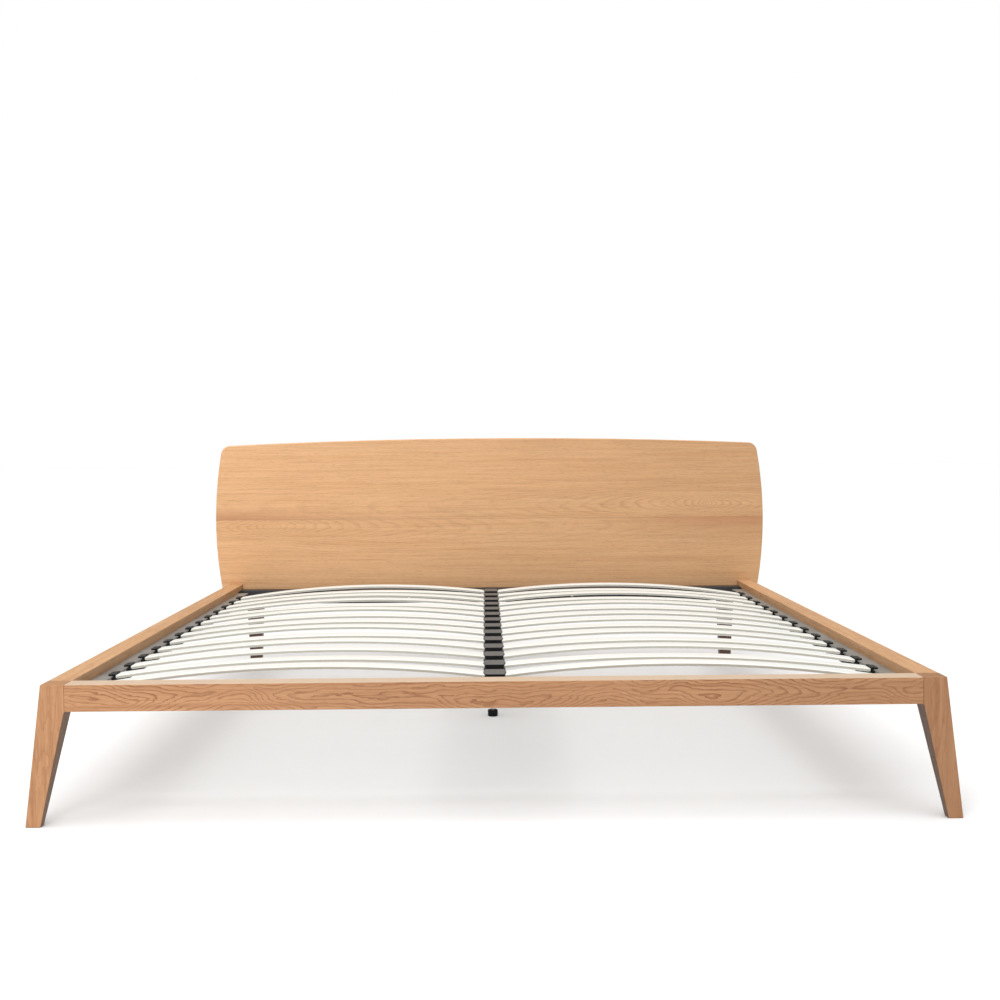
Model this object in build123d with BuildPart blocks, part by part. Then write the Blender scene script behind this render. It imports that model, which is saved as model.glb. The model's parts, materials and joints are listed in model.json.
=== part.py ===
from build123d import *
import os
from math import cos

# King size oak bed frame: a bowed headboard, slim rails flush with splayed front legs, and two
# columns of sprung slats carried by steel ledges and a centre beam.
# Millimetres. +X is to the right seen from the foot end, +Y towards the headboard, +Z up.
# The origin is on the floor, under the middle of the whole frame.

os.makedirs("parts", exist_ok=True)

# ---------------------------------------------------------------- driving dimensions
LENGTH = 2125                # foot rail's face to the headboard's back
RAIL_WIDTH = 1944            # over the two side rails
RAIL_TOP = 307               # top of the rails above the floor
RAIL_HEIGHT = 58
RAIL_THICKNESS = 51          # side rails, and the front legs' tops
FOOT_RAIL_DEPTH = 55
EASED_EDGE = 1.5             # rounding of the rails' long edges
RAIL_END_CHAMFER = 1         # leaves a fine groove where the foot rail meets a leg

HEADBOARD_THICKNESS = 30
HEADBOARD_WIDTH = 2036       # at the bulge, half way up
HEADBOARD_END_WIDTH = 1980   # along the top and the bottom
HEADBOARD_CROWN = 843        # top edge at the middle
HEADBOARD_SHOULDER = 820     # top edge at its ends
HEADBOARD_CORNER_RADIUS = 35
HEADBOARD_EDGE_RADIUS = 4

FRONT_LEG_SPLAY = 37         # how far the foot stands outside the rail
FRONT_LEG_FOOT_WIDTH = 33
FRONT_LEG_FOOT_DEPTH = 24
FOOT_CHAMFER = 1             # around the bottom of every wooden leg
LEG_EDGE_RADIUS = 2.5
LEG_KNEE_RADIUS = 20         # where the block runs into the taper

REAR_LEG_X = 869             # centre of each rear leg
REAR_LEG_TOP = (56, 50)      # width and depth under the cross rail
REAR_LEG_FOOT = (38, 36)     # width and depth on the floor

CROSS_TUBE = 50              # square steel tube at the head end
CROSS_TUBE_WALL = 2.5
CROSS_TUBE_TOP = 288
PLATE_THICKNESS = 4          # the cross rail's welded end plates and leg plates
END_PLATE_LENGTH = 92

BEAM_WIDTH = 42              # centre beam, rectangular steel tube
BEAM_HEIGHT = 34
BEAM_WALL = 2
BEAM_TOP = 288

LEDGE_WIDTH = 36             # steel angle along each side rail
LEDGE_DROP = 32
SHEET = 3                    # thickness of the angles and brackets
LEDGE_TOP = 283.5
LEDGE_START = 118            # from the foot rail's face
LEDGE_END = 2000

SLATS_PER_SIDE = 14
SLAT_PITCH = 131.2
FIRST_SLAT = 136             # centre of the foot-most slat, from the foot rail's face
SLAT_WIDTH = 53
SLAT_THICKNESS = 8
SLAT_EDGE_RADIUS = 3         # rounding of the long edges
SLAT_INNER_END = (8, 292.5)  # x and z of the underside at the centre beam
SLAT_OUTER_END = (880, 277)  # x and z of the underside at the side rail
SLAT_CROWN = 29              # rise of the bow above the line between its ends
SLAT_CROWN_SPREAD = 3        # how much one slat's bow differs from the next
SLAT_CROWN_RHYTHM = {"left": 2.4, "right": 2.9}  # radians from one slat to the next
SLAT_CORNER_RADIUS = 10

CAP_LENGTH = 68              # centre cap, along the beam
CAP_WIDTH = 42
CAP_BULGE = 5                # how far each end of the cap swells past its corners
CAP_TOP = 304.5
CAP_EDGE_RADIUS = 1.2
CAP_PEG_RADIUS = 3.9
CAP_PEG_LENGTH = 8

HOLDER_LENGTH = 46           # outer slat holder, along the ledge
HOLDER_TRAY = 34             # how far its tray reaches under the slat
HOLDER_TRAY_THICKNESS = 4.5
HOLDER_STOP = 9              # thickness of the block that the slat ends against
HOLDER_STOP_RISE = 3         # of that block above the slat's top
HOLDER_HEEL = 8              # of that block below the slat's underside
HOLDER_LIP = 17              # reach of its two lips past the slat's end
HOLDER_LIP_THICKNESS = 3.5
HOLDER_CORNER_RADIUS = 7

CENTRE_LEG_Y = 1140          # from the foot rail's face
CENTRE_LEG_RADIUS = 14
CENTRE_LEG_WALL = 1.5
CENTRE_LEG_BOTTOM = 45
STUD_RADIUS = 5
STUD_TOP = 88
RUNNING_GAP = 0.05           # radial clearance of the levelling thread
PAD_RADIUS = 15
PAD_HEIGHT = 20
PAD_SOCKET_BOTTOM = 8        # the stud's ball end sits this high in the pad
STUD_END_GAP = 0.4
NUT_RADIUS = 8.5             # across the flats
NUT_HEIGHT = 6
INSERT_FLANGE = 3
INSERT_LENGTH = 22

SCREW_RADIUS = 2.2
SCREW_LENGTH = 30
SCREW_HEAD_RADIUS = 4.5
SCREW_HEAD_HEIGHT = 2.4
DRILL_GAP = 0.1              # every hole is this much larger, in radius, than what it takes
DOWEL_RADIUS = 5
DOWEL_LENGTH = 56
DOWEL_HOLE_LENGTH = 58

# ---------------------------------------------------------------- what follows from them
FOOT_Y = -LENGTH / 2
HEAD_Y = LENGTH / 2 - HEADBOARD_THICKNESS
RAIL_BOTTOM = RAIL_TOP - RAIL_HEIGHT
RAIL_MIDDLE = RAIL_TOP - RAIL_HEIGHT / 2
OUTER_X = RAIL_WIDTH / 2
INNER_X = OUTER_X - RAIL_THICKNESS
RAIL_CENTRE_X = OUTER_X - RAIL_THICKNESS / 2
FOOT_INNER_Y = FOOT_Y + FOOT_RAIL_DEPTH
SLAT_YS = [FOOT_Y + FIRST_SLAT + i * SLAT_PITCH for i in range(SLATS_PER_SIDE)]
CROSS_FRONT_Y = HEAD_Y - CROSS_TUBE
CROSS_BOTTOM = CROSS_TUBE_TOP - CROSS_TUBE
BEAM_BOTTOM = BEAM_TOP - BEAM_HEIGHT
CENTRE_LEG_ROW_Y = FOOT_Y + CENTRE_LEG_Y
SIDES = ((-1, "left"), (1, "right"))

ALONG_X = (0, 90, 0)
ALONG_Y = (90, 0, 0)

# ---------------------------------------------------------------- places of the fasteners
DOWEL_RISE = 14              # above and below the rail's middle
DOWEL_SETBACK = 26           # from the foot rail's face
DOWEL_SHIFT = 8              # keeps the side rail's dowels clear of the foot rail's
LEDGE_SCREWS = 9             # in each ledge
LEDGE_SCREW_START = 40
LEDGE_SCREW_PITCH = 225
LEDGE_SCREW_DROP = 20        # below the ledge's top
CORNER_BRACKET_LEG = 50
CORNER_BRACKET_HEIGHT = 28
CORNER_SCREW_OFFSETS = (20, 38)
END_PLATE_SCREW_INSETS = (12, 30)
END_PLATE_SCREW_Z = CROSS_BOTTOM + 32
SADDLE_WING = 37             # half width of the beam bracket's back plate
SADDLE_SHELF = 40            # how far its shelf reaches under the beam
SADDLE_CHEEK = 18            # height of its cheeks
SADDLE_SCREW_X = 30
SADDLE_SCREW_Z = BEAM_BOTTOM + BEAM_HEIGHT / 2
CROSS_BOLT_XS = (-760, -300, 300, 760)
CROSS_BOLT_RADIUS = 4
CROSS_BOLT_HEAD = (6.5, 5.3) # radius across flats and height
CROSS_BOLT_BITE = 20         # length inside the headboard
CROSS_BOLT_Z = CROSS_BOTTOM + CROSS_TUBE / 2
SMALL_BOLT_RADIUS = 3
SMALL_BOLT_LENGTH = 10
SMALL_BOLT_HEAD = (5, 3.5)
LEG_PLATE = 62               # side of the centre leg's square top plate
LEG_BOLT_X = 23              # from the centre leg's axis
REAR_STUD_RADIUS = 4
REAR_STUD_LENGTH = 60
REAR_STUD_RISE = 8           # its length inside the cross tube

DOWEL_ZS = (RAIL_MIDDLE - DOWEL_RISE, RAIL_MIDDLE + DOWEL_RISE)
DOWEL_Y = FOOT_Y + DOWEL_SETBACK
LEDGE_SCREW_YS = [
    FOOT_Y + LEDGE_START + LEDGE_SCREW_START + i * LEDGE_SCREW_PITCH for i in range(LEDGE_SCREWS)
]
LEDGE_SCREW_Z = LEDGE_TOP - LEDGE_SCREW_DROP
END_PLATE_SCREW_YS = [HEAD_Y - END_PLATE_LENGTH + inset for inset in END_PLATE_SCREW_INSETS]


def ledge_x(side):
    """Where a ledge screw's head seats."""
    return side * (INNER_X - SHEET)


# Wood screws, as (point where the head seats on the steel, direction into the wood).
wood_screws = []
for side, hand in SIDES:
    into_side_rail = (side, 0, 0)
    for y in LEDGE_SCREW_YS:
        wood_screws.append(((ledge_x(side), y, LEDGE_SCREW_Z), into_side_rail))
    for y in END_PLATE_SCREW_YS:
        wood_screws.append(((side * (INNER_X - PLATE_THICKNESS), y, END_PLATE_SCREW_Z), into_side_rail))
    for offset in CORNER_SCREW_OFFSETS:
        wood_screws.append(((ledge_x(side), FOOT_INNER_Y + offset, RAIL_MIDDLE), into_side_rail))
        wood_screws.append(((side * (INNER_X - offset), FOOT_INNER_Y + SHEET, RAIL_MIDDLE), (0, -1, 0)))
    wood_screws.append(((side * SADDLE_SCREW_X, FOOT_INNER_Y + SHEET, SADDLE_SCREW_Z), (0, -1, 0)))

DOWELS_ALONG_X = [(side * INNER_X, DOWEL_Y, z) for side, hand in SIDES for z in DOWEL_ZS]
DOWELS_ALONG_Y = [
    (side * RAIL_CENTRE_X, FOOT_INNER_Y + DOWEL_SHIFT, z) for side, hand in SIDES for z in DOWEL_ZS
]
SMALL_BOLTS_Y = [(side * SADDLE_SCREW_X, CROSS_FRONT_Y - SHEET, SADDLE_SCREW_Z) for side, hand in SIDES]
SMALL_BOLTS_Z = [(side * LEG_BOLT_X, CENTRE_LEG_ROW_Y, BEAM_BOTTOM - SHEET) for side, hand in SIDES]


def facing(point, direction):
    """A plane at the point whose normal points back out of the hole."""
    return Plane(origin=point, z_dir=[-value for value in direction])


def upright_edges(piece):
    """The edges that climb steeply."""
    return piece.edges().filter_by(lambda edge: abs(edge.tangent_at(0).Z) > 0.5)


def drill_for_screws(direction_axis):
    """Cuts the screws' holes that run along the given axis index out of the current piece."""
    for point, direction in wood_screws:
        if direction[direction_axis]:
            with Locations(facing(point, direction)):
                Cylinder(
                    SCREW_RADIUS + DRILL_GAP,
                    SCREW_LENGTH,
                    align=(Align.CENTER, Align.CENTER, Align.MAX),
                    mode=Mode.SUBTRACT,
                )


# ---------------------------------------------------------------- headboard
# Two boards glued edge to edge, cut with bowed sides and a crowned top.
half_end = HEADBOARD_END_WIDTH / 2
top_left, top_right = (-half_end, HEADBOARD_SHOULDER), (half_end, HEADBOARD_SHOULDER)
bottom_left, bottom_right = (-half_end, RAIL_BOTTOM), (half_end, RAIL_BOTTOM)
half_bulge = HEADBOARD_WIDTH / 2
bulge_height = (RAIL_BOTTOM + HEADBOARD_SHOULDER) / 2
with BuildPart() as headboard_panel:
    with BuildSketch(Plane.XZ.offset(-LENGTH / 2)):
        with BuildLine():
            ThreePointArc(top_left, (0, HEADBOARD_CROWN), top_right)
            ThreePointArc(top_right, (half_bulge, bulge_height), bottom_right)
            Line(bottom_right, bottom_left)
            ThreePointArc(bottom_left, (-half_bulge, bulge_height), top_left)
        face = make_face()
        fillet(face.vertices().group_by(Axis.Y)[-1], HEADBOARD_CORNER_RADIUS)
    extrude(amount=HEADBOARD_THICKNESS)
    fillet(headboard_panel.edges().filter_by(Axis.Y).group_by(Axis.Z)[0], HEADBOARD_CORNER_RADIUS / 2)
    fillet(headboard_panel.edges().filter_by(Axis.Y, reverse=True), HEADBOARD_EDGE_RADIUS)
    with Locations([(x, HEAD_Y, CROSS_BOLT_Z) for x in CROSS_BOLT_XS]):
        Cylinder(
            CROSS_BOLT_RADIUS + DRILL_GAP,
            2 * (CROSS_BOLT_BITE + DRILL_GAP),
            rotation=ALONG_Y,
            mode=Mode.SUBTRACT,
        )
headboard_panel.part.label = "headboard_panel"
export_step(headboard_panel.part, "parts/headboard_panel.step")

# ---------------------------------------------------------------- foot rail
with BuildPart() as foot_rail:
    with Locations((0, FOOT_Y + FOOT_RAIL_DEPTH / 2, RAIL_MIDDLE)):
        Box(2 * INNER_X, FOOT_RAIL_DEPTH, RAIL_HEIGHT)
    fillet(foot_rail.edges().filter_by(Axis.X), EASED_EDGE)
    chamfer(foot_rail.faces().filter_by(Axis.X).edges(), RAIL_END_CHAMFER)
    with Locations(DOWELS_ALONG_X):
        Cylinder(DOWEL_RADIUS + DRILL_GAP, DOWEL_HOLE_LENGTH, rotation=ALONG_X, mode=Mode.SUBTRACT)
    drill_for_screws(1)
foot_rail.part.label = "foot_rail"
export_step(foot_rail.part, "parts/foot_rail.step")

# ---------------------------------------------------------------- side rails
for side, hand in SIDES:
    rail_length = HEAD_Y - FOOT_INNER_Y
    with BuildPart() as side_rail:
        with Locations((side * RAIL_CENTRE_X, FOOT_INNER_Y + rail_length / 2, RAIL_MIDDLE)):
            Box(RAIL_THICKNESS, rail_length, RAIL_HEIGHT)
        fillet(side_rail.edges().filter_by(Axis.Y), EASED_EDGE)
        with Locations(DOWELS_ALONG_Y):
            Cylinder(DOWEL_RADIUS + DRILL_GAP, DOWEL_HOLE_LENGTH, rotation=ALONG_Y, mode=Mode.SUBTRACT)
        drill_for_screws(0)
    side_rail.part.label = f"side_rail_{hand}"
    export_step(side_rail.part, f"parts/side_rail_{hand}.step")

# ---------------------------------------------------------------- front legs
# A square block where the rails join it, tapering to a small foot that stands out to the side.
for side, hand in SIDES:
    foot_outer_x = OUTER_X + FRONT_LEG_SPLAY
    front_outline = [
        (side * INNER_X, RAIL_TOP),
        (side * OUTER_X, RAIL_TOP),
        (side * foot_outer_x, 0),
        (side * (foot_outer_x - FRONT_LEG_FOOT_WIDTH), 0),
        (side * INNER_X, RAIL_BOTTOM),
    ]
    side_outline = [
        (FOOT_Y, 0),
        (FOOT_Y, RAIL_TOP),
        (FOOT_INNER_Y, RAIL_TOP),
        (FOOT_INNER_Y, RAIL_BOTTOM),
        (FOOT_Y + FRONT_LEG_FOOT_DEPTH, 0),
    ]
    with BuildPart() as front_leg:
        with BuildSketch(Plane.XZ.offset(-FOOT_INNER_Y)):
            with BuildLine():
                Polyline(front_outline, close=True)
            outline = make_face()
            knee = outline.vertices().filter_by_position(Axis.Y, RAIL_BOTTOM - 1, RAIL_BOTTOM + 1)
            fillet(knee, LEG_KNEE_RADIUS)
        extrude(amount=FOOT_RAIL_DEPTH)
        with BuildSketch(Plane.YZ):
            with BuildLine():
                Polyline(side_outline, close=True)
            outline = make_face()
            knee = outline.vertices().filter_by_position(Axis.Y, RAIL_BOTTOM - 1, RAIL_BOTTOM + 1)
            fillet(knee, LEG_KNEE_RADIUS)
        extrude(amount=side * LENGTH, mode=Mode.INTERSECT)
        fillet(upright_edges(front_leg), LEG_EDGE_RADIUS)
        fillet(front_leg.faces().sort_by(Axis.Z)[-1].edges(), EASED_EDGE / 2)
        chamfer(front_leg.faces().sort_by(Axis.Z)[0].edges(), FOOT_CHAMFER)
        with Locations(DOWELS_ALONG_X):
            Cylinder(DOWEL_RADIUS + DRILL_GAP, DOWEL_HOLE_LENGTH, rotation=ALONG_X, mode=Mode.SUBTRACT)
        with Locations(DOWELS_ALONG_Y):
            Cylinder(DOWEL_RADIUS + DRILL_GAP, DOWEL_HOLE_LENGTH, rotation=ALONG_Y, mode=Mode.SUBTRACT)
    front_leg.part.label = f"front_leg_{hand}"
    export_step(front_leg.part, f"parts/front_leg_{hand}.step")

# ---------------------------------------------------------------- dowels of the front corners
with BuildPart() as corner_dowels:
    with Locations(DOWELS_ALONG_X):
        Cylinder(DOWEL_RADIUS, DOWEL_LENGTH, rotation=ALONG_X)
    with Locations(DOWELS_ALONG_Y):
        Cylinder(DOWEL_RADIUS, DOWEL_LENGTH, rotation=ALONG_Y)
    chamfer(corner_dowels.faces().filter_by(GeomType.PLANE).edges(), 1)
corner_dowels.part.label = "corner_dowels"
export_step(corner_dowels.part, "parts/corner_dowels.step")

# ---------------------------------------------------------------- rear legs
rear_leg_y = HEAD_Y - CROSS_TUBE / 2
rear_leg_height = CROSS_BOTTOM - PLATE_THICKNESS
for side, hand in SIDES:
    with BuildPart() as rear_leg:
        with BuildSketch(Plane.XY):
            with Locations((side * REAR_LEG_X, rear_leg_y)):
                Rectangle(*REAR_LEG_FOOT)
        with BuildSketch(Plane.XY.offset(rear_leg_height)):
            with Locations((side * REAR_LEG_X, rear_leg_y)):
                Rectangle(*REAR_LEG_TOP)
        loft()
        fillet(upright_edges(rear_leg), LEG_EDGE_RADIUS)
        chamfer(rear_leg.faces().sort_by(Axis.Z)[0].edges(), FOOT_CHAMFER)
        with Locations((side * REAR_LEG_X, rear_leg_y, rear_leg_height)):
            Cylinder(REAR_STUD_RADIUS + DRILL_GAP, 2 * REAR_STUD_LENGTH, mode=Mode.SUBTRACT)
    rear_leg.part.label = f"rear_leg_{hand}"
    export_step(rear_leg.part, f"parts/rear_leg_{hand}.step")

# ---------------------------------------------------------------- head cross rail
# Square tube with welded end plates, which screw to the side rails, and a welded plate under
# each end, which a rear leg is screwed up to.
cross_middle = (0, HEAD_Y - CROSS_TUBE / 2, CROSS_BOTTOM + CROSS_TUBE / 2)
tube_length = 2 * (INNER_X - PLATE_THICKNESS)
tube_bore = CROSS_TUBE - 2 * CROSS_TUBE_WALL
with BuildPart() as head_cross_rail:
    with Locations(cross_middle):
        Box(tube_length, CROSS_TUBE, CROSS_TUBE)
    fillet(head_cross_rail.edges().filter_by(Axis.X), CROSS_TUBE_WALL)
    with Locations(cross_middle):
        Box(tube_length, tube_bore, tube_bore, mode=Mode.SUBTRACT)
    with Locations([(x, HEAD_Y - CROSS_TUBE / 2, CROSS_BOLT_Z) for x in CROSS_BOLT_XS]):
        Cylinder(CROSS_BOLT_RADIUS + DRILL_GAP, CROSS_TUBE + 2, rotation=ALONG_Y, mode=Mode.SUBTRACT)
    for side, hand in SIDES:
        end_plate_x = side * (INNER_X - PLATE_THICKNESS / 2)
        with Locations((end_plate_x, HEAD_Y - END_PLATE_LENGTH / 2, cross_middle[2])):
            Box(PLATE_THICKNESS, END_PLATE_LENGTH, CROSS_TUBE)
        with Locations((side * REAR_LEG_X, rear_leg_y, CROSS_BOTTOM - PLATE_THICKNESS / 2)):
            Box(*REAR_LEG_TOP, PLATE_THICKNESS)
        with Locations((side * REAR_LEG_X, rear_leg_y, CROSS_BOTTOM)):
            Cylinder(REAR_STUD_RADIUS + DRILL_GAP, 4 * PLATE_THICKNESS, mode=Mode.SUBTRACT)
    with Locations(SMALL_BOLTS_Y):
        Cylinder(
            SMALL_BOLT_RADIUS + DRILL_GAP,
            3 * SMALL_BOLT_LENGTH,
            rotation=ALONG_Y,
            mode=Mode.SUBTRACT,
        )
    drill_for_screws(0)
head_cross_rail.part.label = "head_cross_rail"
export_step(head_cross_rail.part, "parts/head_cross_rail.step")

# ---------------------------------------------------------------- centre beam
beam_start = FOOT_INNER_Y + SHEET
beam_end = CROSS_FRONT_Y - SHEET
beam_middle = (0, (beam_start + beam_end) / 2, BEAM_TOP - BEAM_HEIGHT / 2)
beam_length = beam_end - beam_start
with BuildPart() as centre_beam:
    with Locations(beam_middle):
        Box(BEAM_WIDTH, beam_length, BEAM_HEIGHT)
    fillet(centre_beam.edges().filter_by(Axis.Y), BEAM_WALL)
    with Locations(beam_middle):
        Box(BEAM_WIDTH - 2 * BEAM_WALL, beam_length, BEAM_HEIGHT - 2 * BEAM_WALL, mode=Mode.SUBTRACT)
    with Locations([(0, y, BEAM_TOP) for y in SLAT_YS]):
        Cylinder(CAP_PEG_RADIUS + DRILL_GAP, 3 * BEAM_WALL, mode=Mode.SUBTRACT)
    with Locations(SMALL_BOLTS_Z):
        Cylinder(SMALL_BOLT_RADIUS + DRILL_GAP, 2 * SMALL_BOLT_LENGTH, mode=Mode.SUBTRACT)
centre_beam.part.label = "centre_beam"
export_step(centre_beam.part, "parts/centre_beam.step")

# ---------------------------------------------------------------- beam brackets
# Pressed saddles: a back plate with wings, a shelf under the beam and a cheek on each side of it.
for end_name, plate_y, towards_beam in (("foot", FOOT_INNER_Y, 1), ("head", CROSS_FRONT_Y, -1)):
    shelf_y = plate_y + towards_beam * SADDLE_SHELF / 2
    cheek_x = (BEAM_WIDTH + SHEET) / 2
    cheek_z = BEAM_BOTTOM + SADDLE_CHEEK / 2
    with BuildPart() as beam_bracket:
        with Locations((0, plate_y + towards_beam * SHEET / 2, SADDLE_SCREW_Z - SHEET / 2)):
            Box(2 * SADDLE_WING, SHEET, BEAM_HEIGHT + SHEET)
        with Locations((0, shelf_y, BEAM_BOTTOM - SHEET / 2)):
            Box(BEAM_WIDTH + 2 * SHEET, SADDLE_SHELF, SHEET)
        with Locations([(side * cheek_x, shelf_y, cheek_z) for side, hand in SIDES]):
            Box(SHEET, SADDLE_SHELF, SADDLE_CHEEK)
        if end_name == "foot":
            drill_for_screws(1)
        else:
            with Locations(SMALL_BOLTS_Y):
                Cylinder(SMALL_BOLT_RADIUS + DRILL_GAP, 3 * SHEET, rotation=ALONG_Y, mode=Mode.SUBTRACT)
    beam_bracket.part.label = f"beam_bracket_{end_name}"
    export_step(beam_bracket.part, f"parts/beam_bracket_{end_name}.step")

# ---------------------------------------------------------------- front corner brackets
for side, hand in SIDES:
    plate_reach = CORNER_BRACKET_LEG / 2
    with BuildPart() as corner_bracket:
        with Locations((side * (INNER_X - SHEET / 2), FOOT_INNER_Y + plate_reach, RAIL_MIDDLE)):
            Box(SHEET, CORNER_BRACKET_LEG, CORNER_BRACKET_HEIGHT)
        with Locations((side * (INNER_X - plate_reach), FOOT_INNER_Y + SHEET / 2, RAIL_MIDDLE)):
            Box(CORNER_BRACKET_LEG, SHEET, CORNER_BRACKET_HEIGHT)
        drill_for_screws(0)
        drill_for_screws(1)
    corner_bracket.part.label = f"corner_bracket_{hand}"
    export_step(corner_bracket.part, f"parts/corner_bracket_{hand}.step")

# ---------------------------------------------------------------- steel ledges
ledges = {}
for side, hand in SIDES:
    ledge_outline = [
        (side * (INNER_X - LEDGE_WIDTH), LEDGE_TOP),
        (side * INNER_X, LEDGE_TOP),
        (side * INNER_X, LEDGE_TOP - LEDGE_DROP),
        (side * (INNER_X - SHEET), LEDGE_TOP - LEDGE_DROP),
        (side * (INNER_X - SHEET), LEDGE_TOP - SHEET),
        (side * (INNER_X - LEDGE_WIDTH), LEDGE_TOP - SHEET),
    ]
    with BuildPart() as slat_ledge:
        with BuildSketch(Plane.XZ.offset(-(FOOT_Y + LEDGE_START))):
            with BuildLine():
                Polyline(ledge_outline, close=True)
            make_face()
        extrude(amount=LEDGE_START - LEDGE_END)
        drill_for_screws(0)
    slat_ledge.part.label = f"slat_ledge_{hand}"
    export_step(slat_ledge.part, f"parts/slat_ledge_{hand}.step")
    ledges[hand] = slat_ledge.part

# ---------------------------------------------------------------- sprung slats
# Bent plywood: the underside and the top are arcs between the two ends.
slats = {}
for side, hand in SIDES:
    for i, y in enumerate(SLAT_YS):
        crown = SLAT_CROWN + SLAT_CROWN_SPREAD * cos(SLAT_CROWN_RHYTHM[hand] * i)
        inner_x, inner_z = SLAT_INNER_END
        outer_x, outer_z = SLAT_OUTER_END
        middle_x = (inner_x + outer_x) / 2
        middle_z = (inner_z + outer_z) / 2 + crown
        with BuildPart() as slat:
            with BuildSketch(Plane.XZ.offset(-y)):
                with BuildLine():
                    under = ThreePointArc(
                        (side * inner_x, inner_z), (side * middle_x, middle_z), (side * outer_x, outer_z)
                    )
                    over = ThreePointArc(
                        (side * inner_x, inner_z + SLAT_THICKNESS),
                        (side * middle_x, middle_z + SLAT_THICKNESS),
                        (side * outer_x, outer_z + SLAT_THICKNESS),
                    )
                    Line(under @ 0, over @ 0)
                    Line(under @ 1, over @ 1)
                make_face()
            extrude(amount=SLAT_WIDTH / 2, both=True)
            fillet(slat.edges().filter_by(Axis.Z), SLAT_CORNER_RADIUS)
            top_and_underside = slat.faces().filter_by(GeomType.CYLINDER).sort_by(SortBy.AREA)[-2:]
            fillet(top_and_underside.edges(), SLAT_EDGE_RADIUS)
        slat.part.label = f"slat_{hand}_{i + 1:02d}"
        export_step(slat.part, f"parts/slat_{hand}_{i + 1:02d}.step")
        slats[hand, i] = slat.part

# ---------------------------------------------------------------- centre slat caps
# Each one holds a left and a right slat's end, and plugs into the beam's top.
corner_x = CAP_WIDTH / 2
bulge_x = corner_x + CAP_BULGE
with BuildPart() as centre_slat_caps:
    with BuildSketch(Plane.XY.offset(BEAM_TOP)):
        for y in SLAT_YS:
            with BuildLine():
                near, far = y - CAP_LENGTH / 2, y + CAP_LENGTH / 2
                right = ThreePointArc((corner_x, near), (bulge_x, y), (corner_x, far))
                left = ThreePointArc((-corner_x, near), (-bulge_x, y), (-corner_x, far))
                Line(right @ 0, left @ 0)
                Line(right @ 1, left @ 1)
            make_face()
    extrude(amount=CAP_TOP - BEAM_TOP)
    fillet(centre_slat_caps.faces().filter_by(Axis.Z).group_by(Axis.Z)[-1].edges(), CAP_EDGE_RADIUS)
    for slat_part in slats.values():
        add(slat_part, mode=Mode.SUBTRACT)
    with Locations([(0, y, BEAM_TOP) for y in SLAT_YS]):
        Cylinder(CAP_PEG_RADIUS, CAP_PEG_LENGTH, align=(Align.CENTER, Align.CENTER, Align.MAX))
centre_slat_caps.part.label = "centre_slat_caps"
export_step(centre_slat_caps.part, "parts/centre_slat_caps.step")

# ---------------------------------------------------------------- outer slat holders
# A tray under the slat's end, a stop against it, and a lip above and below the ledge's edge.
slat_end_x, slat_end_z = SLAT_OUTER_END
tray_x = slat_end_x - HOLDER_TRAY
stop_x = slat_end_x + HOLDER_STOP
lip_x = slat_end_x + HOLDER_LIP
tray_tilt = 6                # how much higher the tray's free end is than its root
heel = slat_end_z - HOLDER_HEEL
lower_lip = LEDGE_TOP - SHEET - HOLDER_LIP_THICKNESS
upper_lip = LEDGE_TOP + HOLDER_LIP_THICKNESS
stop_top = slat_end_z + SLAT_THICKNESS + HOLDER_STOP_RISE
for side, hand in SIDES:
    holder_outline = [
        (side * tray_x, slat_end_z + tray_tilt - HOLDER_TRAY_THICKNESS),
        (side * slat_end_x, slat_end_z - HOLDER_TRAY_THICKNESS),
        (side * slat_end_x, heel),
        (side * stop_x, heel),
        (side * stop_x, lower_lip),
        (side * lip_x, lower_lip),
        (side * lip_x, upper_lip),
        (side * stop_x, upper_lip),
        (side * (stop_x - HOLDER_STOP_RISE), stop_top),
        (side * slat_end_x, stop_top),
        (side * slat_end_x, slat_end_z),
        (side * tray_x, slat_end_z + tray_tilt),
    ]
    with BuildPart() as slat_holders:
        for i, y in enumerate(SLAT_YS):
            with BuildSketch(Plane.XZ.offset(-y)):
                with BuildLine():
                    Polyline(holder_outline, close=True)
                make_face()
            extrude(amount=HOLDER_LENGTH / 2, both=True)
        upright = slat_holders.edges().filter_by(Axis.Z)
        lip_ends = upright.filter_by(lambda edge: abs(abs(edge.center().X) - lip_x) < 0.1)
        fillet(lip_ends, HOLDER_CORNER_RADIUS)
        for i in range(SLATS_PER_SIDE):
            add(slats[hand, i], mode=Mode.SUBTRACT)
        add(ledges[hand], mode=Mode.SUBTRACT)
    slat_holders.part.label = f"slat_holders_{hand}"
    export_step(slat_holders.part, f"parts/slat_holders_{hand}.step")

# ---------------------------------------------------------------- centre leg
# A steel tube welded under a plate that is bolted to the beam.
plate_z = BEAM_BOTTOM - SHEET
leg_tube_height = plate_z - CENTRE_LEG_BOTTOM
with BuildPart() as centre_leg:
    with Locations((0, CENTRE_LEG_ROW_Y, CENTRE_LEG_BOTTOM)):
        Cylinder(CENTRE_LEG_RADIUS, leg_tube_height, align=(Align.CENTER, Align.CENTER, Align.MIN))
        Cylinder(
            CENTRE_LEG_RADIUS - CENTRE_LEG_WALL,
            leg_tube_height,
            align=(Align.CENTER, Align.CENTER, Align.MIN),
            mode=Mode.SUBTRACT,
        )
    with Locations((0, CENTRE_LEG_ROW_Y, plate_z + SHEET / 2)):
        Box(LEG_PLATE, LEG_PLATE, SHEET)
    with Locations(SMALL_BOLTS_Z):
        Cylinder(SMALL_BOLT_RADIUS + DRILL_GAP, 3 * SHEET, mode=Mode.SUBTRACT)
centre_leg.part.label = "centre_leg"
export_step(centre_leg.part, "parts/centre_leg.step")

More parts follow.
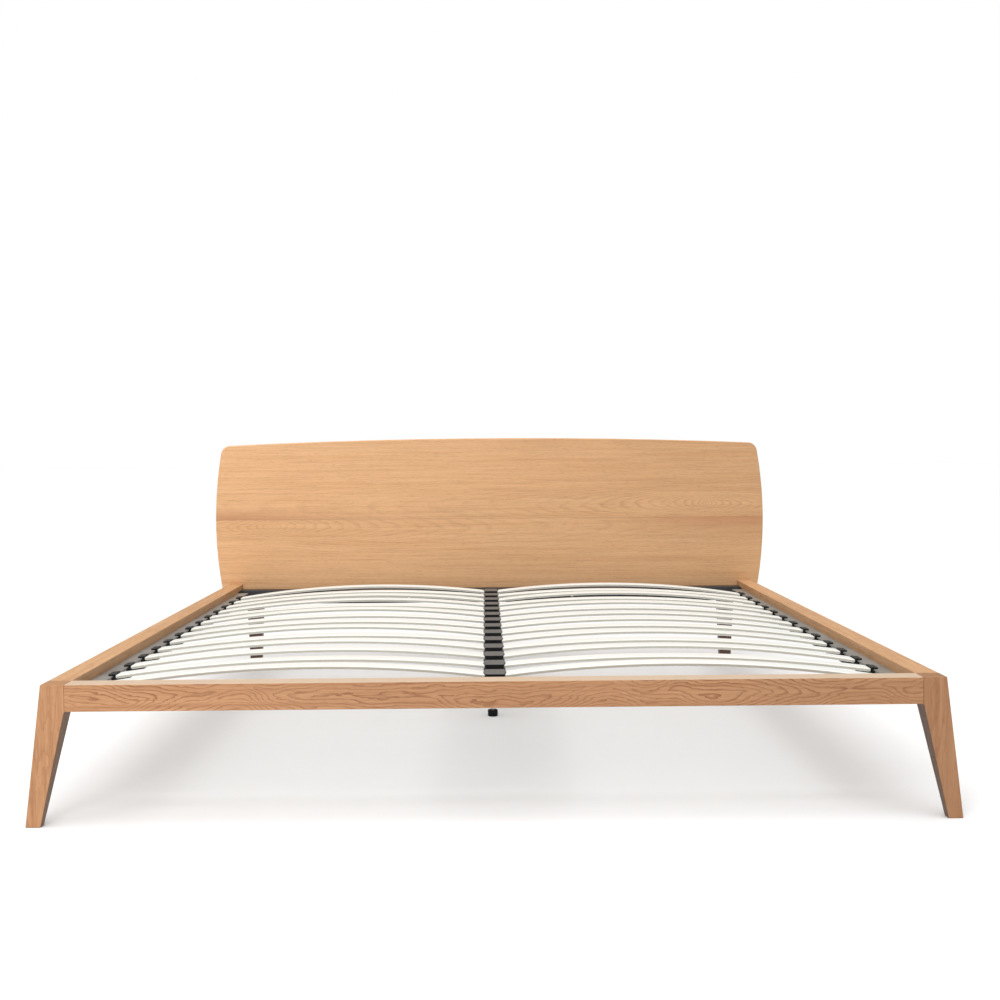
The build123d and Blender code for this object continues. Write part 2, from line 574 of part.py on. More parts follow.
# ---------------------------------------------------------------- centre leg's threaded insert
with BuildPart() as centre_leg_insert:
    with Locations((0, CENTRE_LEG_ROW_Y, CENTRE_LEG_BOTTOM - INSERT_FLANGE)):
        Cylinder(CENTRE_LEG_RADIUS, INSERT_FLANGE, align=(Align.CENTER, Align.CENTER, Align.MIN))
    with Locations((0, CENTRE_LEG_ROW_Y, CENTRE_LEG_BOTTOM)):
        Cylinder(
            CENTRE_LEG_RADIUS - CENTRE_LEG_WALL - DRILL_GAP,
            INSERT_LENGTH,
            align=(Align.CENTER, Align.CENTER, Align.MIN),
        )
        Cylinder(STUD_RADIUS + RUNNING_GAP, 3 * INSERT_LENGTH, mode=Mode.SUBTRACT)
centre_leg_insert.part.label = "centre_leg_insert"
export_step(centre_leg_insert.part, "parts/centre_leg_insert.step")

# ---------------------------------------------------------------- levelling foot
# The pad stays level while the stud turns in the insert. The nut locks the stud.
nut_bottom = CENTRE_LEG_BOTTOM - INSERT_FLANGE - NUT_HEIGHT
with BuildPart() as lock_nut:
    with BuildSketch(Plane.XY.offset(nut_bottom)):
        with Locations((0, CENTRE_LEG_ROW_Y)):
            RegularPolygon(NUT_RADIUS, 6, major_radius=False)
            Circle(STUD_RADIUS + RUNNING_GAP, mode=Mode.SUBTRACT)
    extrude(amount=NUT_HEIGHT)
lock_nut.part.label = "lock_nut"
export_step(lock_nut.part, "parts/lock_nut.step")

pad_chamfer = 2
pad_shoulder = 4
with BuildPart() as levelling_pad:
    with Locations((0, CENTRE_LEG_ROW_Y, 0)):
        Cylinder(PAD_RADIUS, PAD_HEIGHT, align=(Align.CENTER, Align.CENTER, Align.MIN))
    chamfer(levelling_pad.edges().filter_by(GeomType.CIRCLE).sort_by(Axis.Z)[0], pad_chamfer)
    fillet(levelling_pad.edges().filter_by(GeomType.CIRCLE).sort_by(Axis.Z)[-1], pad_shoulder)
    with Locations((0, CENTRE_LEG_ROW_Y, PAD_SOCKET_BOTTOM)):
        Cylinder(
            STUD_RADIUS + RUNNING_GAP,
            PAD_HEIGHT,
            align=(Align.CENTER, Align.CENTER, Align.MIN),
            mode=Mode.SUBTRACT,
        )
levelling_pad.part.label = "levelling_pad"
export_step(levelling_pad.part, "parts/levelling_pad.step")

stud_bottom = PAD_SOCKET_BOTTOM + STUD_END_GAP
stud_chamfer = 0.8
with BuildPart() as levelling_stud:
    with Locations((0, CENTRE_LEG_ROW_Y, stud_bottom)):
        Cylinder(STUD_RADIUS, STUD_TOP - stud_bottom, align=(Align.CENTER, Align.CENTER, Align.MIN))
    chamfer(levelling_stud.edges().filter_by(GeomType.CIRCLE), stud_chamfer)
levelling_stud.part.label = "levelling_stud"
export_step(levelling_stud.part, "parts/levelling_stud.step")

# ---------------------------------------------------------------- fasteners
with BuildPart() as frame_screws:
    for point, direction in wood_screws:
        with Locations(facing(point, direction)):
            Cylinder(SCREW_RADIUS, SCREW_LENGTH - 1, align=(Align.CENTER, Align.CENTER, Align.MAX))
            Cylinder(SCREW_HEAD_RADIUS, SCREW_HEAD_HEIGHT, align=(Align.CENTER, Align.CENTER, Align.MIN))
frame_screws.part.label = "frame_screws"
export_step(frame_screws.part, "parts/frame_screws.step")

cross_bolt_length = CROSS_TUBE + CROSS_BOLT_BITE
with BuildPart() as cross_rail_bolts:
    for x in CROSS_BOLT_XS:
        with BuildSketch(Plane.XZ.offset(-CROSS_FRONT_Y)):
            with Locations((x, CROSS_BOLT_Z)):
                RegularPolygon(CROSS_BOLT_HEAD[0], 6, major_radius=False)
        extrude(amount=CROSS_BOLT_HEAD[1])
        with BuildSketch(Plane.XZ.offset(-CROSS_FRONT_Y)):
            with Locations((x, CROSS_BOLT_Z)):
                Circle(CROSS_BOLT_RADIUS)
        extrude(amount=-cross_bolt_length)
cross_rail_bolts.part.label = "cross_rail_bolts"
export_step(cross_rail_bolts.part, "parts/cross_rail_bolts.step")

rear_stud_top = CROSS_BOTTOM + CROSS_TUBE_WALL + REAR_STUD_RISE
with BuildPart() as rear_leg_studs:
    with Locations([(side * REAR_LEG_X, rear_leg_y, rear_stud_top) for side, hand in SIDES]):
        Cylinder(REAR_STUD_RADIUS, REAR_STUD_LENGTH, align=(Align.CENTER, Align.CENTER, Align.MAX))
rear_leg_studs.part.label = "rear_leg_studs"
export_step(rear_leg_studs.part, "parts/rear_leg_studs.step")

small_bolt_places = [facing(point, (0, 1, 0)) for point in SMALL_BOLTS_Y]
small_bolt_places += [facing(point, (0, 0, 1)) for point in SMALL_BOLTS_Z]
with BuildPart() as bracket_bolts:
    for place in small_bolt_places:
        with Locations(place):
            Cylinder(SMALL_BOLT_RADIUS, SMALL_BOLT_LENGTH, align=(Align.CENTER, Align.CENTER, Align.MAX))
            Cylinder(*SMALL_BOLT_HEAD, align=(Align.CENTER, Align.CENTER, Align.MIN))
bracket_bolts.part.label = "bracket_bolts"
export_step(bracket_bolts.part, "parts/bracket_bolts.step")
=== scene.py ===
import json
import math

import bpy
from mathutils import Matrix, Vector

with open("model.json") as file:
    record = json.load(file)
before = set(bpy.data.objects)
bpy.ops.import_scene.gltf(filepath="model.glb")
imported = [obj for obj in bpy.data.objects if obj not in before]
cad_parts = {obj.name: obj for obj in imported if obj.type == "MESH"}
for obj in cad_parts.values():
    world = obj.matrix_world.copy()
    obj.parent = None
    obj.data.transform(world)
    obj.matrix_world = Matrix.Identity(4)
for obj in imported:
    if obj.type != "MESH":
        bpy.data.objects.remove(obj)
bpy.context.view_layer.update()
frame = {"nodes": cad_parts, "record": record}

# The looks of an oak bed frame, in the row frame: metres, +X right seen from the foot end,
# +Y towards the headboard, +Z up. CAD meshes stay as they are, and get materials.

# ---------------------------------------------------------------- shader building blocks
# A Mix node has sockets for each kind of value; these are its factor and its colours.
MIX_FACTOR, MIX_A, MIX_B, MIX_RESULT = 0, 6, 7, 2
X_AXIS, Y_AXIS, Z_AXIS = 0, 1, 2
NOISE_LOW, NOISE_HIGH = 0.3, 0.7   # most of a noise lies between these


def put(tree, kind, inputs, **settings):
    """Adds a shader node, links or fills its inputs, and returns its outputs."""
    made = tree.nodes.new(kind)
    for name, value in settings.items():
        setattr(made, name, value)
    for key, value in inputs.items():
        if isinstance(value, bpy.types.NodeSocket):
            tree.links.new(value, made.inputs[key])
        else:
            made.inputs[key].default_value = value
    return made.outputs


def blend(tree, factor, first, second):
    """A colour between two colours."""
    inputs = {MIX_FACTOR: factor, MIX_A: first, MIX_B: second}
    return put(tree, "ShaderNodeMix", inputs, data_type="RGBA")[MIX_RESULT]


def maths(tree, operation, first, second=0.0):
    """The result of a sum on one or two numbers."""
    return put(tree, "ShaderNodeMath", {0: first, 1: second}, operation=operation)[0]


def remap(tree, value, from_low, from_high, to_low, to_high):
    """The value moved from one range to another, and held inside it."""
    inputs = {0: value, 1: from_low, 2: from_high, 3: to_low, 4: to_high}
    return put(tree, "ShaderNodeMapRange", inputs)[0]


def from_noise(tree, noise, to_low, to_high):
    """A noise moved to another range, and held inside it."""
    return remap(tree, noise, NOISE_LOW, NOISE_HIGH, to_low, to_high)


def stretched_noise(tree, vector, scale, detail, roughness=0.5):
    """Fractal noise with its own scale along each axis."""
    scaled = put(tree, "ShaderNodeMapping", {"Vector": vector, "Scale": scale})[0]
    inputs = {"Vector": scaled, "Scale": 1.0, "Detail": detail, "Roughness": roughness}
    return put(tree, "ShaderNodeTexNoise", inputs)[0]


def surface(tree):
    """Each point's place in the row frame, and the way that the surface faces there."""
    coordinates = put(tree, "ShaderNodeTexCoord", {})
    return coordinates["Object"], coordinates["Normal"]


def component(tree, vector, axis):
    """The part of a vector along one axis."""
    return put(tree, "ShaderNodeSeparateXYZ", {0: vector})[axis]


def new_material(name):
    """An empty material, as its node tree and its Principled shader."""
    material = bpy.data.materials.new(name)
    material.use_nodes = True
    tree = material.node_tree
    tree.nodes.clear()
    shader = tree.nodes.new("ShaderNodeBsdfPrincipled")
    output = tree.nodes.new("ShaderNodeOutputMaterial")
    tree.links.new(shader.outputs[0], output.inputs[0])
    return material, tree, shader


def connect(tree, shader, **sockets):
    """Links or fills the shader's inputs; an underscore stands for a space in a name."""
    for key, value in sockets.items():
        socket = shader.inputs[key.replace("_", " ")]
        if isinstance(value, bpy.types.NodeSocket):
            tree.links.new(value, socket)
        else:
            socket.default_value = value


def bump(tree, height, strength, distance):
    """A normal raised by the height."""
    inputs = {"Height": height, "Strength": strength, "Distance": distance}
    return put(tree, "ShaderNodeBump", inputs)[0]


# ---------------------------------------------------------------- oak: colours and sizes
# Colours are linear. Each pair is the lighter and the darker wood of one piece.
PANEL_OAK = ((0.700, 0.412, 0.210, 1.0), (0.635, 0.350, 0.163, 1.0))
RAIL_OAK = ((0.585, 0.340, 0.172, 1.0), (0.497, 0.270, 0.124, 1.0))
AMBER_OAK = ((0.480, 0.248, 0.118, 1.0), (0.375, 0.176, 0.076, 1.0))
RUSSET_OAK = ((0.455, 0.238, 0.114, 1.0), (0.355, 0.168, 0.073, 1.0))
# The right leg's oak is the left leg's made darker by a quarter, a painted shade for light falling
# off to the right.
LEG_OAK_PAINTED_SHADE = ((0.360, 0.184, 0.089, 1.0), (0.280, 0.131, 0.057, 1.0))
LATE_WOOD = (0.225, 0.088, 0.034, 1.0)
PORE = (0.200, 0.085, 0.036, 1.0)
HEART_WOOD = (0.470, 0.215, 0.100, 1.0)
# A paler colour laid on top faces, a painted highlight for the light from above.
PAINTED_TOP_HIGHLIGHT = (0.590, 0.470, 0.345, 1.0)

# Turns that bring each grain direction onto the pattern's X axis.
GRAIN_TURN = {
    "X": (0.0, 0.0, 0.0),
    "Y": (0.0, 0.0, -math.pi / 2),
    "Z": (0.0, math.pi / 2, 0.0),
}

# Noise scales, along the grain and the two ways across it. Larger is finer.
BROAD_TONES = (0.8, 6.0, 6.0)
STREAKS = (1.8, 110.0, 110.0)
DASHES = (6.0, 420.0, 420.0)
PORES = (45.0, 1500.0, 1500.0)
RING_PATCHES = (5.0, 40.0, 40.0)
PANEL_WANDER = (0.9, 3.0, 3.0)
PANEL_RIPPLE = (6.0, 60.0, 60.0)
RAIL_WANDER = (3.5, 0.0, 0.0)
RAIL_RIPPLE = (11.0, 60.0, 60.0)

# The headboard's two boards: arches start at the left end of the lower and the right of the upper.
SEAM_HEIGHT = 0.545
BOARD_JUMP = (5.3, 0.4, 0.9)   # where the upper board comes from in the tree
LOWER_PITH = 0.520             # height of the arches' middle line in each board
UPPER_PITH = 0.592
PITH_WANDER = 0.015
PITH_DEPTH = 0.10              # how far behind the face the pith is, a metre from the eye
PANEL_REACH = 1.05             # half the panel's width, and a little
PANEL_EYE = 0.24               # from the near end to the rings' closed eye
PANEL_RING = 0.0055
HEART_HEIGHT = 0.055           # redder wood beside the seam, at the end away from the arches
HEART_START, HEART_END = 1.40, 2.0     # distance from the near end where it begins and is full
HEART_STRENGTH = 0.80
GLUE_CORE, GLUE_EDGE = 0.0004, 0.0014  # distance from the seam where the glue is full and gone
GLUE_STRENGTH = 0.3
FIGURE_START, FIGURE_END = 0.35, 1.2   # the arches fade between these distances from the near end
FAR_FIGURE = 0.35                      # and keep this part of their strength

# Parts of one year ring at which the late wood begins and is full.
LATE_START, LATE_FULL = 0.60, 0.95
FAINTEST_LINE = 0.3            # the part of a line that shows where it fades
DASH_STRENGTH = 0.28
PORE_STRENGTH = 0.45

# How far a face turns down where its painted shade is full and where it ends.
PAINTED_UNDERSIDE_FULL, PAINTED_UNDERSIDE_END = -0.18, -0.08

RAIL_MIDDLE = 0.278            # height of the foot rail's middle line
ARCH_WANDER = 0.030
ARCH_TIP = 0.004               # rounds the arches' tips
RIPPLE_RINGS = 2.5             # rings that the fine ripple adds

# Each is the noise scale of the long waves, the rings in them, and the width of an arch's rings.
FOOT_RINGS = ((1.5, 0.0, 0.0), 40.0, 0.0080)
SIDE_RINGS = ((1.2, 12.0, 12.0), 9.0, None)
LEG_RINGS = ((2.2, 16.0, 16.0), 11.0, None)


# ---------------------------------------------------------------- oak: year rings
def arch(tree, sideways, deep):
    """Distance from the pith, which year rings follow: nested arches on a sawn face."""
    squares = [maths(tree, "MULTIPLY", length, length) for length in (sideways, deep)]
    return maths(tree, "SQRT", maths(tree, "ADD", *squares))


def rail_rings(tree, along, height, waves, count, ring_width):
    """Year rings of one board, counting up by one per ring. Waves and count shape its long
    waves; a ring width adds arches that wander about the rail's middle line."""
    trunk = stretched_noise(tree, along, waves, 1.5, 0.4)
    ripple = stretched_noise(tree, along, RAIL_RIPPLE, 3.0, 0.6)
    long_waves = maths(tree, "MULTIPLY", trunk, count)
    rings = maths(tree, "ADD", long_waves, maths(tree, "MULTIPLY", ripple, RIPPLE_RINGS))
    if ring_width:
        wander = stretched_noise(tree, along, RAIL_WANDER, 2.0)
        middle = from_noise(tree, wander, RAIL_MIDDLE - ARCH_WANDER, RAIL_MIDDLE + ARCH_WANDER)
        from_middle = maths(tree, "SUBTRACT", height, middle)
        arches = maths(tree, "DIVIDE", arch(tree, from_middle, ARCH_TIP), ring_width)
        rings = maths(tree, "ADD", rings, arches)
    return rings


def panel_rings(tree, along, run, from_pith):
    """Year rings of a headboard board, counting up by one per ring: closed eyes where the saw
    met the pith, and long arches away from there. Run is the distance from the near end."""
    wander = stretched_noise(tree, along, PANEL_WANDER, 2.0)
    shift = remap(tree, wander, 0.2, 0.8, -PITH_WANDER, PITH_WANDER)
    sideways = maths(tree, "ADD", from_pith, shift)
    from_eye = maths(tree, "ABSOLUTE", maths(tree, "SUBTRACT", run, PANEL_EYE))
    deep = maths(tree, "MULTIPLY", maths(tree, "SQRT", from_eye), PITH_DEPTH)
    arches = maths(tree, "DIVIDE", arch(tree, sideways, deep), PANEL_RING)
    return maths(tree, "ADD", arches, stretched_noise(tree, along, PANEL_RIPPLE, 3.0, 0.6))


def two_boards(tree, along, across, height):
    """The grain of the headboard's two boards, the distance from the near end of each, and the
    height above its pith."""
    upper = maths(tree, "GREATER_THAN", height, SEAM_HEIGHT)
    jump = {0: BOARD_JUMP, "Scale": upper}
    next_board = put(tree, "ShaderNodeVectorMath", jump, operation="SCALE")[0]
    along = put(tree, "ShaderNodeVectorMath", {0: along, 1: next_board}, operation="ADD")[0]
    side = maths(tree, "SUBTRACT", maths(tree, "MULTIPLY", upper, 2.0), 1.0)
    run = maths(tree, "SUBTRACT", PANEL_REACH, maths(tree, "MULTIPLY", side, across))
    pith_height = remap(tree, upper, 0.0, 1.0, LOWER_PITH, UPPER_PITH)
    return along, run, maths(tree, "SUBTRACT", height, pith_height)


# ---------------------------------------------------------------- oak: colour
def late_wood_lines(tree, along, rings, strength):
    """How much darker wood shows: the end of each ring, in patches."""
    line = remap(tree, maths(tree, "FRACT", rings), LATE_START, LATE_FULL, 0.0, strength)
    patches = stretched_noise(tree, along, RING_PATCHES, 2.0)
    return maths(tree, "MULTIPLY", line, remap(tree, patches, 0.3, 0.65, FAINTEST_LINE, 1.0))


def grain_colour(tree, along, colours, late_wood, dashes, open_pores):
    """Streaked wood with its late wood, short dashes and open pores."""
    streaks = stretched_noise(tree, along, STREAKS, 3.0, 0.55)
    colour = blend(tree, from_noise(tree, streaks, 0.0, 1.0), *colours)
    colour = blend(tree, late_wood, colour, LATE_WOOD)
    colour = blend(tree, remap(tree, dashes, 0.50, 0.72, 0.0, DASH_STRENGTH), colour, LATE_WOOD)
    return blend(tree, open_pores, colour, PORE)


def tone(tree, along, across, facing_up, painted_falloff, underside_painted_shade):
    """The factor for a piece's slow changes of tone, with painted shade growing to the right
    and on faces turned downwards.
    """
    broad = stretched_noise(tree, along, BROAD_TONES, 3.0)
    # Painted shade: darker to the right, for light falling off towards the right.
    darker = maths(tree, "MULTIPLY", across, painted_falloff)
    shade = maths(tree, "SUBTRACT", from_noise(tree, broad, 0.94, 1.05), darker)
    # Painted shade on faces turned downwards, which stand in the shade.
    painted_underside = remap(tree, facing_up, PAINTED_UNDERSIDE_FULL, PAINTED_UNDERSIDE_END, underside_painted_shade, 1.0)
    return maths(tree, "MULTIPLY", shade, painted_underside)


def glued_seam(tree, colour, height, run):
    """The headboard's redder heart wood beside the seam, and the glue line in it."""
    from_seam = maths(tree, "ABSOLUTE", maths(tree, "SUBTRACT", height, SEAM_HEIGHT))
    near_seam = remap(tree, from_seam, 0.0, HEART_HEIGHT, 1.0, 0.0)
    far_end = remap(tree, run, HEART_START, HEART_END, 0.0, HEART_STRENGTH)
    colour = blend(tree, maths(tree, "MULTIPLY", near_seam, far_end), colour, HEART_WOOD)
    glue_line = remap(tree, from_seam, GLUE_CORE, GLUE_EDGE, GLUE_STRENGTH, 0.0)
    return blend(tree, glue_line, colour, PORE)


def oak(name, grain, offset, colours, figure, rings=None, painted_falloff=0.0, painted_top_light=0.0, underside_painted_shade=1.0):
    """Oiled oak. Offset picks the place in the tree, and figure is how strongly its year rings
    show. Rings are the waves, count and ring width of one board; without them the piece is the
    headboard's two glued boards. Painted falloff is how much darker it is painted per metre to
    the right, a painted shade for light falling off; painted top light is how pale its top face
    is painted, a painted highlight; and underside painted shade is the factor of painted shade
    for faces turned downwards, such as a leg's tapered side."""
    material, tree, shader = new_material(name)
    place, normal = surface(tree)
    turned = {"Vector": place, "Rotation": GRAIN_TURN[grain], "Location": (offset, 0.0, 0.0)}
    along = put(tree, "ShaderNodeMapping", turned)[0]
    across = component(tree, place, X_AXIS)
    height = component(tree, place, Z_AXIS)
    facing_up = component(tree, normal, Z_AXIS)
    if rings:
        strength = figure
        ring_count = rail_rings(tree, along, height, *rings)
    else:
        along, run, from_pith = two_boards(tree, along, across, height)
        strength = remap(tree, run, FIGURE_START, FIGURE_END, figure, FAR_FIGURE * figure)
        ring_count = panel_rings(tree, along, run, from_pith)
    late_wood = late_wood_lines(tree, along, ring_count, strength)
    dashes = stretched_noise(tree, along, DASHES, 3.0, 0.65)
    pores = stretched_noise(tree, along, PORES, 1.0)
    open_pores = remap(tree, pores, 0.62, 0.70, 0.0, PORE_STRENGTH)
    colour = grain_colour(tree, along, colours, late_wood, dashes, open_pores)
    shade = tone(tree, along, across, facing_up, painted_falloff, underside_painted_shade)
    colour = put(tree, "ShaderNodeVectorMath", {0: colour, "Scale": shade}, operation="SCALE")[0]
    # Painted highlight: top faces are paler, as if lit from above.
    colour = blend(tree, remap(tree, facing_up, 0.6, 0.9, 0.0, painted_top_light), colour, PAINTED_TOP_HIGHLIGHT)
    if not rings:
        colour = glued_seam(tree, colour, height, run)
    relief = maths(tree, "SUBTRACT", maths(tree, "MULTIPLY", dashes, -0.6), open_pores)
    connect(
        tree,
        shader,
        Base_Color=colour,
        Roughness=from_noise(tree, dashes, 0.42, 0.58),
        Normal=bump(tree, relief, 0.4, 0.0004),
        Specular_IOR_Level=0.4,
    )
    return material


OAK_PIECES = {
    "headboard_panel": oak("oak_headboard", "X", 0.0, PANEL_OAK, 0.31, painted_falloff=0.13),
    "foot_rail": oak(
        "oak_foot_rail", "X", 3.0, RUSSET_OAK, 1.0, FOOT_RINGS, painted_falloff=0.09, painted_top_light=0.75
    ),
    "side_rail_left": oak("oak_rail_left", "Y", 6.0, RAIL_OAK, 0.25, SIDE_RINGS),
    "side_rail_right": oak("oak_rail_right", "Y", 9.0, RAIL_OAK, 0.25, SIDE_RINGS),
    "front_leg_left": oak("oak_leg_left", "Z", 12.0, AMBER_OAK, 0.45, LEG_RINGS, underside_painted_shade=0.36),
    "front_leg_right": oak("oak_leg_right", "Z", 15.0, LEG_OAK_PAINTED_SHADE, 0.45, LEG_RINGS, underside_painted_shade=0.30),
}

# ---------------------------------------------------------------- the other finishes
BEECH = ((0.68, 0.47, 0.29, 1.0), (0.50, 0.31, 0.17, 1.0))
STAINED_WOOD = ((0.120, 0.062, 0.040, 1.0), (0.055, 0.028, 0.020, 1.0))
SLAT_FACE = ((0.745, 0.745, 0.708, 1.0), (0.710, 0.705, 0.660, 1.0))
SLAT_GRAIN = (0.60, 0.55, 0.46, 1.0)
SLAT_PLIES_AND_PAINTED_SHADE = ((0.50, 0.48, 0.42, 1.0), (0.38, 0.36, 0.30, 1.0))
ZINC = ((0.64, 0.64, 0.62, 1.0), (0.46, 0.46, 0.45, 1.0))
# Colours to which the functions below add the alpha.
GREY_COAT = (0.340, 0.305, 0.275)
LEDGE_COAT = (0.175, 0.165, 0.150)
BLACK_COAT = (0.012, 0.012, 0.013)
GREY_PLASTIC = (0.004, 0.004, 0.004)
# Paler colours for the plastics' upward faces: partly a settled dusty film, partly a painted sheen.
GREY_PLASTIC_DUST_AND_SHEEN = (0.120, 0.118, 0.115)
BLACK_PLASTIC = (0.005, 0.005, 0.005)
BLACK_PLASTIC_DUST_AND_SHEEN = (0.040, 0.040, 0.038)
GLOSS_SPREAD = 0.15            # how much rougher the dull places of a finish are


def even(scale):
    """A noise scale that is the same along all three axes."""
    return (scale, scale, scale)


def beech():
    """Plain dowel wood with short flecks."""
    material, tree, shader = new_material("beech_dowel")
    place, _ = surface(tree)
    flecks = stretched_noise(tree, place, even(400.0), 3.0)
    colour = blend(tree, flecks, *BEECH)
    connect(tree, shader, Base_Color=colour, Roughness=from_noise(tree, flecks, 0.55, 0.7))
    return material


def dark_wood():
    """Hardwood under a dark brown stain, with the grain upright."""
    material, tree, shader = new_material("dark_wood")
    place, _ = surface(tree)
    streaks = stretched_noise(tree, place, (90.0, 90.0, 3.0), 4.0, 0.6)
    connect(
        tree,
        shader,
        Base_Color=blend(tree, streaks, *STAINED_WOOD),
        Roughness=from_noise(tree, streaks, 0.42, 0.58),
        Normal=bump(tree, streaks, 0.3, 0.0003),
    )
    return material


def slat_birch():
    """Pale foiled birch: faint grain along the slat, and plies showing on its long edges,
    made darker as a painted shade for the gaps between the slats.
    """
    material, tree, shader = new_material("slat_birch")
    place, normal = surface(tree)
    clouds = stretched_noise(tree, place, (1.5, 9.0, 9.0), 3.0)
    grain = stretched_noise(tree, place, (5.0, 260.0, 60.0), 4.0, 0.6)
    plies = stretched_noise(tree, place, (3.0, 3.0, 900.0), 2.0)
    colour = blend(tree, from_noise(tree, clouds, 0.0, 1.0), *SLAT_FACE)
    colour = blend(tree, remap(tree, grain, 0.5, 0.8, 0.0, 0.25), colour, SLAT_GRAIN)
    sideways = maths(tree, "ABSOLUTE", component(tree, normal, Y_AXIS))
    on_edge = remap(tree, sideways, 0.75, 0.95, 0.0, 1.0)
    # The long edges: real plies, darkened further as a painted shade for the gaps between the slats.
    colour = blend(tree, on_edge, colour, blend(tree, plies, *SLAT_PLIES_AND_PAINTED_SHADE))
    connect(
        tree,
        shader,
        Base_Color=colour,
        Roughness=from_noise(tree, grain, 0.38, 0.52),
        Normal=bump(tree, grain, 0.15, 0.0003),
    )
    return material


def powder_coat(name, base, gloss):
    """Powder coated steel: orange peel, and faint dusty, worn patches."""
    material, tree, shader = new_material(name)
    place, _ = surface(tree)
    peel = stretched_noise(tree, place, even(900.0), 2.0)
    rubs = stretched_noise(tree, place, even(9.0), 5.0, 0.65)
    dusty = tuple(channel * 1.35 + 0.01 for channel in base)
    colour = blend(tree, remap(tree, rubs, 0.35, 0.75, 0.0, 1.0), (*base, 1.0), (*dusty, 1.0))
    connect(
        tree,
        shader,
        Base_Color=colour,
        Roughness=from_noise(tree, rubs, gloss, gloss + GLOSS_SPREAD),
        Normal=bump(tree, peel, 0.2, 0.0002),
    )
    return material


def zinc():
    """Zinc plated steel, slightly mottled."""
    material, tree, shader = new_material("zinc_steel")
    place, _ = surface(tree)
    mottle = stretched_noise(tree, place, even(500.0), 3.0)
    connect(
        tree,
        shader,
        Base_Color=blend(tree, mottle, *ZINC),
        Metallic=1.0,
        Roughness=from_noise(tree, mottle, 0.28, 0.45),
    )
    return material


def moulded_plastic(name, base, dust_and_sheen, gloss, shine):
    """Injection moulded plastic: a fine etched texture, scuffs, and paler upward faces,
    partly a settled dusty film and partly a painted sheen.
    """
    material, tree, shader = new_material(name)
    place, normal = surface(tree)
    etch = stretched_noise(tree, place, even(1400.0), 2.0)
    scuffs = stretched_noise(tree, place, even(40.0), 5.0, 0.7)
    scuffed = tuple(channel * 1.4 + 0.004 for channel in base)
    colour = blend(tree, remap(tree, scuffs, 0.45, 0.8, 0.0, 1.0), (*base, 1.0), (*scuffed, 1.0))
    # Upward faces turn paler: partly a settled dusty film, partly a painted sheen.
    facing_up = component(tree, normal, Z_AXIS)
    dust_and_sheen_facing = maths(tree, "ADD", facing_up, from_noise(tree, scuffs, -0.1, 0.1))
    colour = blend(tree, remap(tree, dust_and_sheen_facing, 0.6, 1.0, 0.0, 1.0), colour, (*dust_and_sheen, 1.0))
    connect(
        tree,
        shader,
        Base_Color=colour,
        Roughness=from_noise(tree, scuffs, gloss, gloss + GLOSS_SPREAD),
        Normal=bump(tree, etch, 0.25, 0.0002),
        Specular_IOR_Level=shine,
    )
    return material


FINISHES = {
    "dark_wood": dark_wood(),
    "beech": beech(),
    "slat_birch": slat_birch(),
    "grey_steel": powder_coat("grey_steel", GREY_COAT, 0.42),
    "black_steel": powder_coat("black_steel", BLACK_COAT, 0.45),
    "zinc_steel": zinc(),
    "grey_plastic": moulded_plastic("grey_plastic", GREY_PLASTIC, GREY_PLASTIC_DUST_AND_SHEEN, 0.45, 0.2),
    "black_plastic": moulded_plastic("black_plastic", BLACK_PLASTIC, BLACK_PLASTIC_DUST_AND_SHEEN, 0.50, 0.15),
}

# Pieces whose finish differs from the rest of their slot.
ledge_steel = powder_coat("ledge_steel", LEDGE_COAT, 0.40)
OWN_FINISHES = {**OAK_PIECES, "slat_ledge_left": ledge_steel, "slat_ledge_right": ledge_steel}

for part in frame["record"]["subparts"]:
    piece = frame["nodes"][part["node"]]
    finish = OWN_FINISHES.get(part["node"]) or FINISHES[part["material_slot"]]
    piece.data.materials.clear()
    piece.data.materials.append(finish)

# ---------------------------------------------------------------- studio
FLOOR_REACH = 60.0
FLOOR_GREY = (0.80, 0.80, 0.80, 1.0)
WHITE = (1.0, 1.0, 1.0, 1.0)
BACKDROP_SEEN = 1.0            # the backdrop looks white and gives only a part of the light
BACKDROP_GIVEN = 0.37
OVERHEAD_POWER = 3.1
OVERHEAD_SPREAD = math.radians(68.0)
OVERHEAD_TILT = (math.radians(12.0), math.radians(-3.0), 0.0)
KEY_PLACE = (-1.1, -4.5, 2.3)
KEY_AIM = (-0.3, 0.2, 0.4)
KEY_SIZE = 1.8
KEY_POWER = 78.0


def add_to_scene(name, data):
    """A new object in the scene."""
    added = bpy.data.objects.new(name, data)
    bpy.context.scene.collection.objects.link(added)
    return added


def wide_floor():
    """A level floor out to the horizon."""
    mesh = bpy.data.meshes.new("floor")
    signs = ((-1, -1), (1, -1), (1, 1), (-1, 1))
    corners = [(x * FLOOR_REACH, y * FLOOR_REACH, 0.0) for x, y in signs]
    mesh.from_pydata(corners, [], [(0, 1, 2, 3)])
    material, tree, shader = new_material("pale_floor")
    connect(tree, shader, Base_Color=FLOOR_GREY, Roughness=0.7)
    mesh.materials.append(material)
    return add_to_scene("floor", mesh)


def white_backdrop():
    """A world that the camera sees brighter than the light it gives."""
    world = bpy.data.worlds.new("studio")
    world.use_nodes = True
    tree = world.node_tree
    seen = put(tree, "ShaderNodeLightPath", {})["Is Camera Ray"]
    strength = remap(tree, seen, 0.0, 1.0, BACKDROP_GIVEN, BACKDROP_SEEN)
    connect(tree, tree.nodes["Background"], Color=WHITE, Strength=strength)
    return world


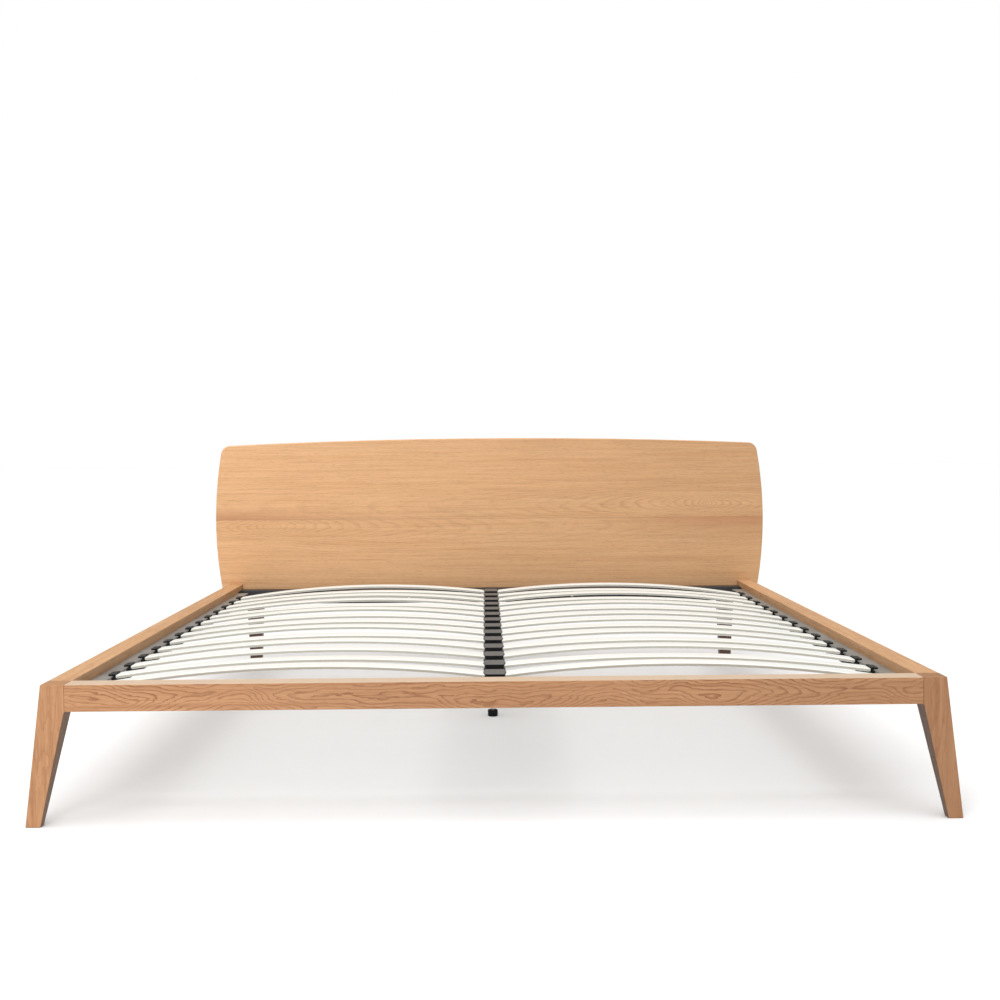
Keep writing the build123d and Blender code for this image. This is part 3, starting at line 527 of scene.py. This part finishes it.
def overhead_light():
    """One wide, even light from above, which keeps the floor white out to the horizon."""
    lamp = bpy.data.lights.new("overhead", "SUN")
    lamp.energy = OVERHEAD_POWER
    lamp.angle = OVERHEAD_SPREAD
    add_to_scene("overhead", lamp).rotation_euler = OVERHEAD_TILT


def key_light():
    """A square area light, turned to the point that it lights."""
    lamp = bpy.data.lights.new("key_light", "AREA")
    lamp.size = KEY_SIZE
    lamp.energy = KEY_POWER
    holder = add_to_scene("key_light", lamp)
    holder.location = KEY_PLACE
    holder.rotation_mode = "QUATERNION"
    holder.rotation_quaternion = (Vector(KEY_AIM) - Vector(KEY_PLACE)).to_track_quat("-Z", "Y")


floor = wide_floor()
bpy.context.scene.world = white_backdrop()
overhead_light()
key_light()

# ---------------------------------------------------------------- camera
CAMERA_PLACE = (-0.0204, -3.868, 0.8048)
CAMERA_YAW = 0.0118            # turned to the right, radians
CAMERA_PITCH = 0.0391          # looking down
CAMERA_ROLL = 0.0071
LENS_LENGTH = 47.47            # millimetres, as is the sensor
SENSOR_WIDTH = 36.0


def camera_axes():
    """The directions to the camera's right, above it, and ahead of it."""
    ahead = Vector(
        (
            math.sin(CAMERA_YAW) * math.cos(CAMERA_PITCH),
            math.cos(CAMERA_YAW) * math.cos(CAMERA_PITCH),
            -math.sin(CAMERA_PITCH),
        )
    )
    level_right = Vector((math.cos(CAMERA_YAW), -math.sin(CAMERA_YAW), 0.0))
    level_up = level_right.cross(ahead)
    right = math.cos(CAMERA_ROLL) * level_right - math.sin(CAMERA_ROLL) * level_up
    up = math.sin(CAMERA_ROLL) * level_right + math.cos(CAMERA_ROLL) * level_up
    return right, up, ahead


def place_camera():
    """The camera that the photo was taken with, as far as the photo shows it."""
    lens = bpy.data.cameras.new("camera")
    lens.lens = LENS_LENGTH
    lens.sensor_width = SENSOR_WIDTH
    holder = add_to_scene("camera", lens)
    right, up, ahead = camera_axes()
    turn = Matrix((right, up, -ahead)).transposed().to_4x4()
    holder.matrix_world = Matrix.Translation(CAMERA_PLACE) @ turn
    return holder


bpy.context.scene.camera = place_camera()
bpy.context.scene.view_settings.view_transform = "Standard"
